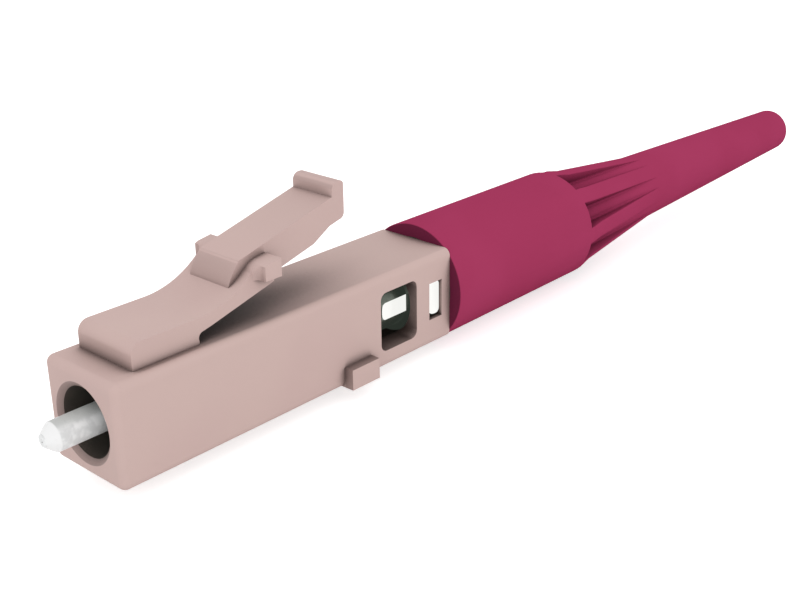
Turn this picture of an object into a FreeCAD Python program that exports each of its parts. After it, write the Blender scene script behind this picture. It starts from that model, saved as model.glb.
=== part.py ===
import FreeCAD, Part
import math
import os

# LC fibre connector: a square plug with a sprung latch on its top, and behind it a slim tapered
# boot. Sizes are in millimetres. The origin is on the ferrule's axis, just behind the plug's front
# face. +X runs back to the boot's tail, +Z points up to the latch, and the ferrule points to -X.

# Plug housing
PLUG_WIDTH = 4.52
PLUG_LENGTH = 18.93
PLUG_EDGE_R = 0.35
NOSE_X = -0.14
SIDE_WALL = 0.41
MOUTH_R = 1.73
MOUTH_DEPTH = 0.18
NOSE_BORE_R = 1.50
GUIDE_STEP = 0.23
REAR_BORE_LENGTH = 6.90
REAR_BORE_LEAD = 0.12

# Window and snap slot, cut through both sides of the housing, measured from its rear face
WINDOW_FRONT = 4.78
WINDOW_LENGTH = 2.42
WINDOW_HEIGHT = 2.86
WINDOW_CORNER_R = 0.35
SLOT_FRONT = 1.47
SLOT_LENGTH = 0.89
SLOT_HEIGHT = 1.84

# Tabs on both sides, level with the bottom face
TAB_X = 11.75
TAB_LENGTH = 1.72
TAB_HEIGHT = 0.98
TAB_PROUD = 0.50

# Latch root: a raised block on the plug's top face, with a relief notch under its rear end
LATCH_WIDTH = 3.40
LATCH_EDGE_R = 0.22
ROOT_FRONT_X = 1.18
ROOT_HEIGHT = 1.10
ROOT_NOSE_R = 0.40
NOTCH_X = 4.38
NOTCH_HEIGHT = 0.50

# Latch arm, which bends about an axis in the middle of its root
BEND_X = 4.75
BEND_GAP = 0.03
ARM_RISE = math.radians(14.2)
ARM_ROOT_DEPTH = 0.28
SWEEP_R = 4.35
SWEEP_START_X = 4.37
SWEEP_ANGLE = math.radians(42.0)
SHOULDER_X = 7.78
SHOULDER_REAR_X = 8.42
SHOULDER_HEIGHT = 2.49
SHOULDER_ANGLE = math.radians(8.0)
SHOULDER_BULGE = 0.04
LUG_PROUD = 0.50
LUG_X = 7.55
LUG_DEPTH = 0.70

# Thumb slab: the narrow raised middle of the arm, with a bar across its end
SLAB_WIDTH = 2.40
SLAB_FOOT_X = 6.41
SLAB_FRONT_HEIGHT = 0.68
SLAB_BROW_X = 7.10
SLAB_BROW_DEPTH = 1.50
SLAB_BROW_BULGE = 0.14
THUMB_KINK_X = 11.19
THUMB_HEEL_X = 12.18
THUMB_END_X = 13.06
THUMB_HEEL_RISE = 0.55
THUMB_TOE_RISE = 0.14
THUMB_TOE_R = 0.29
BAR_X = 12.36
BAR_HEIGHT = 0.62
BAR_R = 0.27
BAR_REAR_R = 0.19

# Ferrule and its fibre hole
FERRULE_R = 0.6245
FERRULE_REACH = 1.93
TIP_R = 0.29
TIP_TAPER = 0.47
TIP_DOME = 0.02
FIBRE_HOLE_R = 0.063
FIBRE_FUNNEL_R = 0.28
FIBRE_FUNNEL_LENGTH = 0.50
SHANK_R = 0.45
SHANK_LENGTH = 1.50
GLUE_GAP = 0.01

# Ferrule holder, and the seat that stops it in the housing
SEAT_X = 3.00
SEAT_LENGTH = 0.60
SEAT_LAND = 0.05
SEAT_GAP = 0.04
HEX_GAP = 0.03
HEX_BORE_GAP = 0.12
HEX_LENGTH = 2.00
HEX_CHAMFER = 0.15
POCKET_EXTRA = 0.30
BARREL_R = 0.58
BARREL_LENGTH = 4.00
BARREL_BORE_R = 0.30

# Guide tube on the holder's barrel
TUBE_GAP = 0.02
TUBE_WALL = 0.20
TUBE_FRONT = 2.00
TUBE_LENGTH = 10.20

# Spring between the holder and the rear body
WIRE_WIDTH = 0.28
SPRING_TURNS = 7
SPRING_BORE_GAP = 0.26
SPRING_END_GAP = 0.04

# Rear body: barrel with a flat on each side, collar with snap lugs, wider rear collar and grooved
# crimping post
BODY_FRONT = 3.83
BODY_BARREL_STEP = 0.37
BODY_BARREL_CHAMFER = 0.18
BODY_FLAT = 1.425
BODY_COLLAR_LENGTH = 1.98
BODY_COLLAR_LEAD = 0.20
BODY_FIT = 0.03
BODY_BORE_GAP = 0.08
SNAP_HEIGHT = 1.60
SNAP_SINK = 0.20
SNAP_END_GAP = 0.02
SNAP_RAMP = 0.25
SNAP_CORNER_R = 0.20
COLLAR_REAR_R = 2.25
COLLAR_REAR_LENGTH = 0.70
POST_R = 1.40
POST_LENGTH = 4.70
GROOVE_COUNT = 3
GROOVE_PITCH = 1.20
GROOVE_DEPTH = 0.12
GROOVE_START = 0.80

# Crimp sleeve over the post
SLEEVE_FIT = 0.03
SLEEVE_WALL = 0.33
SLEEVE_START = 0.15
SLEEVE_LENGTH = 4.90
SLEEVE_TAPER = 0.50
NECK_BORE_R = 1.24
NECK_WALL = 0.28
NECK_LENGTH = 3.10

# Boot
BOOT_R = 2.97
BOOT_DRAFT = 0.05
BOOT_BODY_LENGTH = 11.37
BOOT_SLOPE_LENGTH = 0.95
BOOT_SLOPE_DROP = 0.20
BOOT_LENGTH = 37.37
POCKET_START = 11.12
RIB_END = 19.65
RIB_COUNT = 8
RIB_THICKNESS = 0.88
TAIL_R = 1.908
TAIL_END_R = 1.353
TAIL_TIP_R = 0.30
BOOT_FIT = 0.05
CORD_BORE_R = 1.05
CORD_BORE_LEAD = 0.12
CAVITY_EXTRA = 0.30
CAVITY_CONE = 0.60

# Places that follow from the sizes above
HALF = PLUG_WIDTH / 2
REAR_BORE_R = HALF - SIDE_WALL
GUIDE_BORE_R = REAR_BORE_R - GUIDE_STEP
REAR_BORE_X = PLUG_LENGTH - REAR_BORE_LENGTH
ROOT_TOP_Z = HALF + ROOT_HEIGHT
NOTCH_TOP_Z = HALF + NOTCH_HEIGHT
BEND_Z = (ROOT_TOP_Z + NOTCH_TOP_Z) / 2
BEND_R = (ROOT_TOP_Z - NOTCH_TOP_Z) / 2
HEX_CORNER_R = GUIDE_BORE_R - HEX_BORE_GAP
HEX_FLAT = HEX_CORNER_R * math.cos(math.pi / 6)
SEAT_HOLE_R = HEX_FLAT - SEAT_LAND
HOLDER_X = SEAT_X + SEAT_GAP
HOLDER_REAR_X = HOLDER_X + HEX_LENGTH
TUBE_BORE_R = BARREL_R + TUBE_GAP
TUBE_R = TUBE_BORE_R + TUBE_WALL
BODY_X = PLUG_LENGTH - BODY_FRONT
COLLAR_R = REAR_BORE_R - BODY_FIT
BODY_BARREL_R = REAR_BORE_R - BODY_BARREL_STEP
BODY_BORE_R = TUBE_R + BODY_BORE_GAP
POST_X = PLUG_LENGTH + COLLAR_REAR_LENGTH
SLEEVE_X = POST_X + SLEEVE_START
SLEEVE_BORE_R = POST_R + SLEEVE_FIT
SLEEVE_R = SLEEVE_BORE_R + SLEEVE_WALL
NECK_X = SLEEVE_X + SLEEVE_LENGTH + SLEEVE_TAPER
SLEEVE_END_X = NECK_X + NECK_LENGTH
BOOT_END_X = PLUG_LENGTH + BOOT_LENGTH

X_AXIS = FreeCAD.Vector(1, 0, 0)
Y_AXIS = FreeCAD.Vector(0, 1, 0)
CENTRE = FreeCAD.Vector(0, 0, 0)
TINY = 1e-6
OVERRUN = 1.0


def spot(x, z):
    return FreeCAD.Vector(x, 0, z)


def line(start, end):
    return Part.LineSegment(start, end).toShape()


def arc_about(centre, radius, start_angle, end_angle):
    """Arc in the XZ plane; angles run from +X towards +Z."""
    ends = []
    for angle in (start_angle, (start_angle + end_angle) / 2, end_angle):
        ends.append(centre + spot(radius * math.cos(angle), radius * math.sin(angle)))
    return Part.Arc(*ends).toShape()


def bowed(start, end, bulge):
    """Arc between two points that stands out to the left of the straight way by the bulge."""
    way = end - start
    left = spot(-way.z, way.x).normalize()
    return Part.Arc(start, (start + end) / 2 + left * bulge, end).toShape()


def cylinder(radius, start, end):
    return Part.makeCylinder(radius, end - start, spot(start, 0), X_AXIS)


def turned(points):
    """Solid of revolution about the X axis, from the outline's (x, radius) corners."""
    corners = [spot(x, radius) for x, radius in points]
    outline = Part.makePolygon(corners + corners[:1])
    return Part.Face(outline).revolve(CENTRE, X_AXIS, 360)


def turned_edges(edges):
    return Part.Face(Part.Wire(edges)).revolve(CENTRE, X_AXIS, 360)


def slab(edges, width):
    """Outline in the XZ plane, made as thick as the width, evenly about the middle plane."""
    face = Part.Face(Part.Wire(edges))
    face.translate(Y_AXIS * (-width / 2))
    return face.extrude(Y_AXIS * width)


def corner_edges(points):
    return [line(a, b) for a, b in zip(points, points[1:] + points[:1])]


def edges_where(shape, wanted):
    """Edges whose middle point passes the test."""
    found = []
    for edge in shape.Edges:
        middle = edge.valueAt((edge.FirstParameter + edge.LastParameter) / 2)
        if wanted(middle):
            found.append(edge)
    return found


def bar(start, end, half_width, low, high):
    return Part.makeBox(end - start, 2 * half_width, high - low, FreeCAD.Vector(start, -half_width, low))


def both_sides(shape):
    return [shape, shape.mirror(CENTRE, Y_AXIS)]


def hexagon(flat, start, end):
    """Hexagonal bar along X with its flats this far from the axis, two of them on top and bottom."""
    corner = flat / math.cos(math.pi / 6)
    corners = []
    for step in range(6):
        angle = math.pi * step / 3
        corners.append(FreeCAD.Vector(start, corner * math.cos(angle), corner * math.sin(angle)))
    face = Part.Face(Part.makePolygon(corners + corners[:1]))
    return face.extrude(X_AXIS * (end - start))


def plug_block():
    """Square body, rounded along its long edges and round its nose."""
    block = bar(NOSE_X, PLUG_LENGTH, HALF, -HALF, HALF)
    return block.makeFillet(PLUG_EDGE_R, edges_where(block, lambda p: p.x < PLUG_LENGTH - TINY))


def latch_root():
    """Raised block that carries the arm; its rear end is a round knuckle about the bending axis."""
    nose_centre = spot(ROOT_FRONT_X + ROOT_NOSE_R, ROOT_TOP_Z - ROOT_NOSE_R)
    notch_centre = spot(NOTCH_X + NOTCH_HEIGHT / 2, HALF + NOTCH_HEIGHT / 2)
    knuckle = spot(BEND_X, BEND_Z)
    sunk = HALF - SIDE_WALL / 2
    edges = [
        line(spot(ROOT_FRONT_X, sunk), spot(ROOT_FRONT_X, nose_centre.z)),
        arc_about(nose_centre, ROOT_NOSE_R, math.pi, math.pi / 2),
        line(spot(nose_centre.x, ROOT_TOP_Z), spot(BEND_X, ROOT_TOP_Z)),
        arc_about(knuckle, BEND_R, math.pi / 2, -math.pi / 2),
        line(spot(BEND_X, NOTCH_TOP_Z), spot(notch_centre.x, NOTCH_TOP_Z)),
        arc_about(notch_centre, NOTCH_HEIGHT / 2, math.pi / 2, math.pi),
        line(spot(NOTCH_X, notch_centre.z), spot(NOTCH_X, sunk)),
        line(spot(NOTCH_X, sunk), spot(ROOT_FRONT_X, sunk)),
    ]
    rounded = bar(0, BEND_X + OVERRUN, LATCH_WIDTH / 2, 0, ROOT_TOP_Z)
    top_sides = edges_where(rounded, lambda p: abs(p.y) > TINY and p.z > ROOT_TOP_Z - TINY)
    return slab(edges, LATCH_WIDTH).common(rounded.makeFillet(LATCH_EDGE_R, top_sides))


def side_tabs():
    """A tab on each side, from inside the wall to its proud face."""
    corner = FreeCAD.Vector(TAB_X, HALF - SIDE_WALL, -HALF)
    return both_sides(Part.makeBox(TAB_LENGTH, SIDE_WALL + TAB_PROUD, TAB_HEIGHT, corner))


def housing_bores():
    """Nose cavity, seat hole, hexagonal pocket, guide bore and rear bore."""
    seat_front = SEAT_X - SEAT_LENGTH
    pocket_end = HOLDER_REAR_X + POCKET_EXTRA
    lead = REAR_BORE_R + REAR_BORE_LEAD
    nose = turned([
        (NOSE_X - OVERRUN, 0),
        (NOSE_X - OVERRUN, MOUTH_R),
        (NOSE_X, MOUTH_R),
        (NOSE_X + MOUTH_DEPTH, NOSE_BORE_R),
        (seat_front, NOSE_BORE_R),
        (seat_front, 0),
    ])
    bores = nose.fuse(cylinder(SEAT_HOLE_R, seat_front - OVERRUN, SEAT_X + OVERRUN))
    bores = bores.fuse(hexagon(HEX_FLAT + HEX_GAP, SEAT_X, pocket_end + OVERRUN))
    bores = bores.fuse(cylinder(GUIDE_BORE_R, pocket_end, REAR_BORE_X + OVERRUN))
    rear = turned([
        (REAR_BORE_X, 0),
        (REAR_BORE_X, GUIDE_BORE_R),
        (REAR_BORE_X + GUIDE_STEP, REAR_BORE_R),
        (PLUG_LENGTH - REAR_BORE_LEAD, REAR_BORE_R),
        (PLUG_LENGTH, lead),
        (PLUG_LENGTH + OVERRUN, lead),
        (PLUG_LENGTH + OVERRUN, 0),
    ])
    return bores.fuse(rear)


def side_openings():
    """Window with round corners and sharp snap slot, both straight through."""
    front = PLUG_LENGTH - WINDOW_FRONT
    window = bar(front, front + WINDOW_LENGTH, PLUG_WIDTH, -WINDOW_HEIGHT / 2, WINDOW_HEIGHT / 2)
    window = window.makeFillet(WINDOW_CORNER_R, edges_where(window, lambda p: abs(p.y) < TINY))
    slot_x = PLUG_LENGTH - SLOT_FRONT
    slot = bar(slot_x, slot_x + SLOT_LENGTH, PLUG_WIDTH, -SLOT_HEIGHT / 2, SLOT_HEIGHT / 2)
    return window.fuse(slot)


def housing():
    body = plug_block().fuse([latch_root()] + side_tabs())
    return body.cut(housing_bores()).cut(side_openings()).removeSplitter()


def arm_under_z(x):
    return BEND_Z - ARM_ROOT_DEPTH + (x - BEND_X) * math.tan(ARM_RISE)


def arm_wings():
    """Full-width part of the arm: it sweeps up from the root to a flat shoulder."""
    sweep = spot(SWEEP_START_X, ROOT_TOP_Z + SWEEP_R)
    first = math.asin((BEND_X - SWEEP_START_X) / SWEEP_R)
    start = sweep + spot(SWEEP_R * math.sin(first), -SWEEP_R * math.cos(first))
    end = sweep + spot(SWEEP_R * math.sin(SWEEP_ANGLE), -SWEEP_R * math.cos(SWEEP_ANGLE))
    crest = spot(SHOULDER_X, HALF + SHOULDER_HEIGHT)
    back = crest + spot(1, math.tan(SHOULDER_ANGLE)) * (SHOULDER_REAR_X - SHOULDER_X)
    edges = [
        line(spot(BEND_X, arm_under_z(BEND_X)), start),
        arc_about(sweep, SWEEP_R, first - math.pi / 2, SWEEP_ANGLE - math.pi / 2),
        bowed(end, crest, SHOULDER_BULGE),
        line(crest, back),
        line(back, spot(SHOULDER_REAR_X, arm_under_z(SHOULDER_REAR_X))),
        line(spot(SHOULDER_REAR_X, arm_under_z(SHOULDER_REAR_X)), spot(BEND_X, arm_under_z(BEND_X))),
    ]
    wings = slab(edges, LATCH_WIDTH)

    def upper_side(p):
        at_side = abs(abs(p.y) - LATCH_WIDTH / 2) < TINY
        return at_side and start.x < p.x < end.x and p.z > arm_under_z(p.x) + TINY

    wings = wings.makeFillet(LATCH_EDGE_R, edges_where(wings, upper_side))
    lug_top = HALF + SHOULDER_HEIGHT
    lug_low = lug_top - LUG_DEPTH
    lug = slab(corner_edges([
        spot(LUG_X, lug_low),
        spot(LUG_X, lug_top - (SHOULDER_X - LUG_X) * math.tan(SWEEP_ANGLE / 2)),
        crest,
        back,
        spot(SHOULDER_REAR_X, lug_low),
    ]), LATCH_WIDTH + 2 * LUG_PROUD)
    return wings.fuse(lug)


def thumb_slab():
    """Narrow raised slab with a steep front, a kinked underside and a rounded bar across its end."""
    def top_z(x):
        return brow.z + (x - brow.x) * math.tan(ARM_RISE)

    foot = spot(SLAB_FOOT_X, arm_under_z(SLAB_FOOT_X))
    front_top = foot + spot(0, SLAB_FRONT_HEIGHT)
    brow = spot(SLAB_BROW_X, arm_under_z(SLAB_BROW_X) + SLAB_BROW_DEPTH)
    knee = spot(THUMB_KINK_X, arm_under_z(THUMB_KINK_X))
    heel = knee + spot(THUMB_HEEL_X - THUMB_KINK_X, THUMB_HEEL_RISE)
    toe_centre = spot(THUMB_END_X - THUMB_TOE_R, heel.z + THUMB_TOE_RISE + THUMB_TOE_R)
    bar_top = top_z(BAR_X) + BAR_HEIGHT
    front_round = spot(BAR_X + BAR_R, bar_top - BAR_R)
    rear_round = spot(THUMB_END_X - BAR_REAR_R, bar_top - BAR_REAR_R)
    edges = [
        line(foot, front_top),
        bowed(front_top, brow, SLAB_BROW_BULGE),
        line(brow, spot(BAR_X, top_z(BAR_X))),
        line(spot(BAR_X, top_z(BAR_X)), spot(BAR_X, front_round.z)),
        arc_about(front_round, BAR_R, math.pi, math.pi / 2),
        line(spot(front_round.x, bar_top), spot(rear_round.x, bar_top)),
        arc_about(rear_round, BAR_REAR_R, math.pi / 2, 0),
        line(spot(THUMB_END_X, rear_round.z), spot(THUMB_END_X, toe_centre.z)),
        arc_about(toe_centre, THUMB_TOE_R, 0, -math.pi / 2),
        line(spot(toe_centre.x, toe_centre.z - THUMB_TOE_R), heel),
        line(heel, knee),
        line(knee, foot),
    ]
    return slab(edges, SLAB_WIDTH)


def latch_arm():
    """The arm's front end is hollowed to turn round the root's knuckle."""
    arm = arm_wings().fuse(thumb_slab()).removeSplitter()
    side_end = FreeCAD.Vector(BEND_X, -LATCH_WIDTH, BEND_Z)
    socket = Part.makeCylinder(BEND_R + BEND_GAP, 2 * LATCH_WIDTH, side_end, Y_AXIS)
    return arm.cut(socket)


def ferrule():
    """Ceramic rod with a tapered tip, a fine hole and a funnel for the fibre at its rear."""
    step_x = HOLDER_X - GLUE_GAP
    rear = HOLDER_X + SHANK_LENGTH
    tip_x = -FERRULE_REACH
    taper_x = tip_x + TIP_TAPER
    return turned([
        (tip_x, FIBRE_HOLE_R),
        (tip_x + TIP_DOME, TIP_R),
        (taper_x, FERRULE_R),
        (step_x, FERRULE_R),
        (step_x, SHANK_R),
        (rear, SHANK_R),
        (rear, FIBRE_FUNNEL_R),
        (rear - FIBRE_FUNNEL_LENGTH, FIBRE_HOLE_R),
    ])


def ferrule_holder():
    """Hexagonal head with chamfered corners, then a thin barrel."""
    head = hexagon(HEX_FLAT, HOLDER_X, HOLDER_REAR_X)
    rounded = turned([
        (HOLDER_X, 0),
        (HOLDER_X, HEX_CORNER_R - HEX_CHAMFER),
        (HOLDER_X + HEX_CHAMFER, HEX_CORNER_R),
        (HOLDER_REAR_X - HEX_CHAMFER, HEX_CORNER_R),
        (HOLDER_REAR_X, HEX_CORNER_R - HEX_CHAMFER),
        (HOLDER_REAR_X, 0),
    ])
    barrel_end = HOLDER_REAR_X + BARREL_LENGTH
    shank_end = HOLDER_X + SHANK_LENGTH + GLUE_GAP
    holder = head.common(rounded).fuse(cylinder(BARREL_R, HOLDER_REAR_X - OVERRUN, barrel_end))
    holder = holder.cut(cylinder(SHANK_R + GLUE_GAP, HOLDER_X - OVERRUN, shank_end))
    return holder.cut(cylinder(BARREL_BORE_R, HOLDER_X, barrel_end + OVERRUN)).removeSplitter()


def guide_tube():
    start = HOLDER_REAR_X + TUBE_FRONT
    end = start + TUBE_LENGTH
    return cylinder(TUBE_R, start, end).cut(cylinder(TUBE_BORE_R, start - OVERRUN, end + OVERRUN))


def spring():
    """Square wire on a helix; the end coils are ground flat."""
    front = HOLDER_REAR_X + SPRING_END_GAP
    rear = BODY_X - SPRING_END_GAP
    radius = GUIDE_BORE_R - SPRING_BORE_GAP - WIRE_WIDTH / 2
    pitch = (rear - front) / SPRING_TURNS
    helix = Part.makeHelix(pitch, rear - front, radius)
    helix.rotate(CENTRE, Y_AXIS, 90)
    helix.translate(spot(front, 0))
    start = helix.Edges[0].valueAt(helix.Edges[0].FirstParameter)
    ahead = helix.Edges[0].tangentAt(helix.Edges[0].FirstParameter)
    outward = ahead.cross(X_AXIS).normalize() * (WIRE_WIDTH / 2)
    along = outward.cross(ahead)
    corners = []
    for out_sign, along_sign in ((1, 1), (-1, 1), (-1, -1), (1, -1)):
        corners.append(start + outward * out_sign + along * along_sign)
    section = Part.makePolygon(corners + corners[:1])
    coil = Part.Wire(helix.Edges).makePipeShell([section], True, True)
    return coil.common(cylinder(2 * radius, front, rear))


def grooved_post():
    """Outline of the crimping post, with one shallow V groove for each step."""
    points = [(POST_X, POST_R)]
    for step in range(GROOVE_COUNT):
        x = POST_X + GROOVE_START + step * GROOVE_PITCH
        points.append((x, POST_R))
        points.append((x + GROOVE_DEPTH, POST_R - GROOVE_DEPTH))
        points.append((x + 2 * GROOVE_DEPTH, POST_R))
    points.append((POST_X + POST_LENGTH - GROOVE_DEPTH, POST_R))
    points.append((POST_X + POST_LENGTH, POST_R - GROOVE_DEPTH))
    points.append((POST_X + POST_LENGTH, BODY_BORE_R))
    return points


def snap_lugs():
    """Two lugs that stand in the snap slots, with a ramp in front and rounded ends."""
    slot_x = PLUG_LENGTH - SLOT_FRONT
    front = slot_x + SNAP_END_GAP
    rear = slot_x + SLOT_LENGTH - SNAP_END_GAP
    reach = HALF - SNAP_SINK
    corners = [
        FreeCAD.Vector(front, COLLAR_R, 0),
        FreeCAD.Vector(front + SNAP_RAMP, reach, 0),
        FreeCAD.Vector(rear, reach, 0),
        FreeCAD.Vector(rear, -reach, 0),
        FreeCAD.Vector(front + SNAP_RAMP, -reach, 0),
        FreeCAD.Vector(front, -COLLAR_R, 0),
    ]
    face = Part.Face(Part.makePolygon(corners + corners[:1]))
    face.translate(FreeCAD.Vector(0, 0, -SNAP_HEIGHT / 2))
    lugs = face.extrude(FreeCAD.Vector(0, 0, SNAP_HEIGHT))
    ends = edges_where(lugs, lambda p: abs(p.y) > reach - TINY and abs(p.z) > SNAP_HEIGHT / 2 - TINY)
    return lugs.makeFillet(SNAP_CORNER_R, ends)


def rear_body():
    collar_x = PLUG_LENGTH - BODY_COLLAR_LENGTH
    outline = [
        (BODY_X, BODY_BORE_R),
        (BODY_X, BODY_BARREL_R - BODY_BARREL_CHAMFER),
        (BODY_X + BODY_BARREL_CHAMFER, BODY_BARREL_R),
        (collar_x - BODY_COLLAR_LEAD, BODY_BARREL_R),
        (collar_x, COLLAR_R),
        (PLUG_LENGTH, COLLAR_R),
        (PLUG_LENGTH, COLLAR_REAR_R),
        (POST_X, COLLAR_REAR_R),
    ]
    flat_corner = FreeCAD.Vector(BODY_X - OVERRUN, BODY_FLAT, -HALF)
    flat_end = collar_x - BODY_COLLAR_LEAD
    beside = Part.makeBox(flat_end - BODY_X + OVERRUN, HALF, PLUG_WIDTH, flat_corner)
    body = turned(outline + grooved_post()).cut(both_sides(beside)).fuse(snap_lugs())
    bore = cylinder(BODY_BORE_R, BODY_X - OVERRUN, POST_X + POST_LENGTH + OVERRUN)
    return body.cut(bore).removeSplitter()


def crimp_sleeve():
    """Wide part over the post, then a neck for the cord's jacket."""
    neck_r = NECK_BORE_R + NECK_WALL
    wide_end = SLEEVE_X + SLEEVE_LENGTH
    return turned([
        (SLEEVE_X, SLEEVE_BORE_R),
        (SLEEVE_X, SLEEVE_R),
        (wide_end, SLEEVE_R),
        (NECK_X, neck_r),
        (SLEEVE_END_X, neck_r),
        (SLEEVE_END_X, NECK_BORE_R),
        (NECK_X, NECK_BORE_R),
        (wide_end, SLEEVE_BORE_R),
    ])


def boot_outside():
    """Drafted cylinder, short slope, ribbed cone and tail with a rounded end."""
    body_end = PLUG_LENGTH + BOOT_BODY_LENGTH
    slope_end = body_end + BOOT_SLOPE_LENGTH
    rib_end = PLUG_LENGTH + RIB_END
    rear_r = BOOT_R - BOOT_DRAFT
    tip = spot(BOOT_END_X - TAIL_TIP_R, TAIL_END_R - TAIL_TIP_R)
    points = [
        spot(PLUG_LENGTH, 0),
        spot(PLUG_LENGTH, BOOT_R),
        spot(body_end, rear_r),
        spot(slope_end, rear_r - BOOT_SLOPE_DROP),
        spot(rib_end, TAIL_R),
        spot(tip.x, TAIL_END_R),
    ]
    edges = [line(a, b) for a, b in zip(points, points[1:])]
    edges.append(arc_about(tip, TAIL_TIP_R, math.pi / 2, 0))
    edges.append(line(spot(BOOT_END_X, tip.z), spot(BOOT_END_X, 0)))
    edges.append(line(spot(BOOT_END_X, 0), points[0]))
    return turned_edges(edges)


def rib_pockets():
    """Room between the ribs: a tapered ring, less one plate for each pair of opposite ribs."""
    start = PLUG_LENGTH + POCKET_START
    end = PLUG_LENGTH + RIB_END
    taper = (TAIL_R - TAIL_END_R) / (BOOT_END_X - TAIL_TIP_R - end)
    ring = turned([
        (start, TAIL_R + taper * (end - start)),
        (start, 2 * BOOT_R),
        (end, 2 * BOOT_R),
        (end, TAIL_R),
    ])
    for step in range(RIB_COUNT // 2):
        plate = bar(start - OVERRUN, end + OVERRUN, RIB_THICKNESS / 2, -3 * BOOT_R, 3 * BOOT_R)
        plate.rotate(CENTRE, X_AXIS, 360 * step / RIB_COUNT)
        ring = ring.cut(plate)
    return ring


def boot_inside():
    """Room for the rear body's collar and the crimp sleeve, then the cord's bore."""
    room_r = COLLAR_REAR_R + BOOT_FIT
    cavity_r = SLEEVE_R + BOOT_FIT
    room_end = POST_X + BOOT_FIT
    cavity_end = SLEEVE_END_X + CAVITY_EXTRA
    return turned([
        (PLUG_LENGTH - OVERRUN, 0),
        (PLUG_LENGTH - OVERRUN, room_r),
        (room_end, room_r),
        (room_end, cavity_r),
        (cavity_end, cavity_r),
        (cavity_end + CAVITY_CONE, CORD_BORE_R),
        (BOOT_END_X - CORD_BORE_LEAD, CORD_BORE_R),
        (BOOT_END_X + OVERRUN, CORD_BORE_R + CORD_BORE_LEAD + OVERRUN),
        (BOOT_END_X + OVERRUN, 0),
    ])


def boot():
    return boot_outside().cut(rib_pockets()).cut(boot_inside())


def save(name, shape):
    shape.exportStep(os.path.join("parts", name + ".step"))
    print(name, "valid", shape.isValid(), "solids", len(shape.Solids), "volume", round(shape.Volume, 3))


PIECES = {
    "housing": housing,
    "latch_arm": latch_arm,
    "ferrule": ferrule,
    "ferrule_holder": ferrule_holder,
    "guide_tube": guide_tube,
    "spring": spring,
    "rear_body": rear_body,
    "crimp_sleeve": crimp_sleeve,
    "boot": boot,
}

os.makedirs("parts", exist_ok=True)
for piece_name, make in PIECES.items():
    save(piece_name, make())
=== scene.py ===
import math
import bmesh
import bpy
from mathutils import Euler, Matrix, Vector


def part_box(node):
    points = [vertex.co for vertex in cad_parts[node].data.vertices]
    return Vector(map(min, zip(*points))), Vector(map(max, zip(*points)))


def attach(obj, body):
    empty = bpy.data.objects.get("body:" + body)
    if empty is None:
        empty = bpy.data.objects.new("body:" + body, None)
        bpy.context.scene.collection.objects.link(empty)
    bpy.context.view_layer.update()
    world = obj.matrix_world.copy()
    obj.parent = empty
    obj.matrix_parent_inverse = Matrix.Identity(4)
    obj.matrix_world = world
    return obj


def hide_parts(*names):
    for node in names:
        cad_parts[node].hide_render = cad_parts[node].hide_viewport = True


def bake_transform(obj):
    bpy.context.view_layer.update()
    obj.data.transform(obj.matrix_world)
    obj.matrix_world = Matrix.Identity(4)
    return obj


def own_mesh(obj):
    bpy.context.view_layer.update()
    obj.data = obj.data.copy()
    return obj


# A small square fibre plug with a sprung latch and a slim ribbed boot. Sizes here are millimetres
# and turns are degrees where no other unit is named; the frame and every object are in metres.
# +X runs back to the boot's tail, +Z up to the latch.

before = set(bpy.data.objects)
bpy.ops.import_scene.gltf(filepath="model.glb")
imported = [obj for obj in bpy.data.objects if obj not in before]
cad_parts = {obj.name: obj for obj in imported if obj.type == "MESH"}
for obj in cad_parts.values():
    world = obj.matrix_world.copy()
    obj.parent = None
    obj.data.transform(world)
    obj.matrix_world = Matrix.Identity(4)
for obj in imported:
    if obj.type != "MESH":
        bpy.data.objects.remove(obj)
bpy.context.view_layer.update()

MM = 0.001


def box_mm(node):
    low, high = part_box(node)
    return low / MM, high / MM


PLUG_LOW, PLUG_HIGH = box_mm("housing")
ARM_HIGH = box_mm("latch_arm")[1]
BOOT_LOW = box_mm("boot")[0]
FERRULE_LOW, FERRULE_HIGH = box_mm("ferrule")
SPRING_LOW, SPRING_HIGH = box_mm("spring")
BODY_LOW, BODY_HIGH = box_mm("rear_body")

# Plug housing
PLUG_HALF = -PLUG_LOW.z
PLUG_END = PLUG_HIGH.x
SOFT_EDGE = 0.045
METAL_EDGE = 0.03
EDGE_STEPS = 2
SHARP_ANGLE = 34
FLAT_ANGLE = 0.4
MOUTH_R = 1.73

# The cut that takes the root off the plug's shell, past the root on each side
CUT_AHEAD = 0.3
CUT_BEHIND = 1.0
CUT_ABOVE = 0.5
CUT_BESIDE = 0.2

# Latch: its root on the plug and the arm, and where the arm leaves the root
LATCH_HALF = 1.70
LATCH_SINK = 0.12
LATCH_EDGE = 0.30
ROOT_FRONT = 1.18
ROOT_TOP = 3.36
ROOT_NOSE_R = 0.50
ROOT_FLAT_START = 2.5
NOTCH_FRONT = 4.38
NOTCH_HEIGHT = 0.50
NOTCH_FOOT = 0.03
BEND_X = 4.75
UNDER_START = BEND_X + 0.1
UNDER_Z = 2.78
ARM_RISE = math.radians(14.2)
SWEEP_R = 4.35
SWEEP_START = 4.37
SWEEP_ANGLE = math.radians(42.0)
CREST = Vector((7.78, 4.75))
CREST_REAR = 8.42
CREST_SLOPE = math.radians(8.0)
CREST_BULGE = 0.04
LUG_FRONT = 7.55
LUG_DEPTH = 0.70
LUG_HALF = 2.20
LUG_FILLET = 0.32
LUG_LAP = 0.05
LUG_CLEAR = 0.1
BLEND_END = 6.10

# How edges are told apart on the latch: lengths that count as one, and room round a border
SAME = 1e-3
NOSE_ROOM = 0.01
UNDER_ROOM = 0.05
ROOT_ROOM = 0.1

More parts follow.
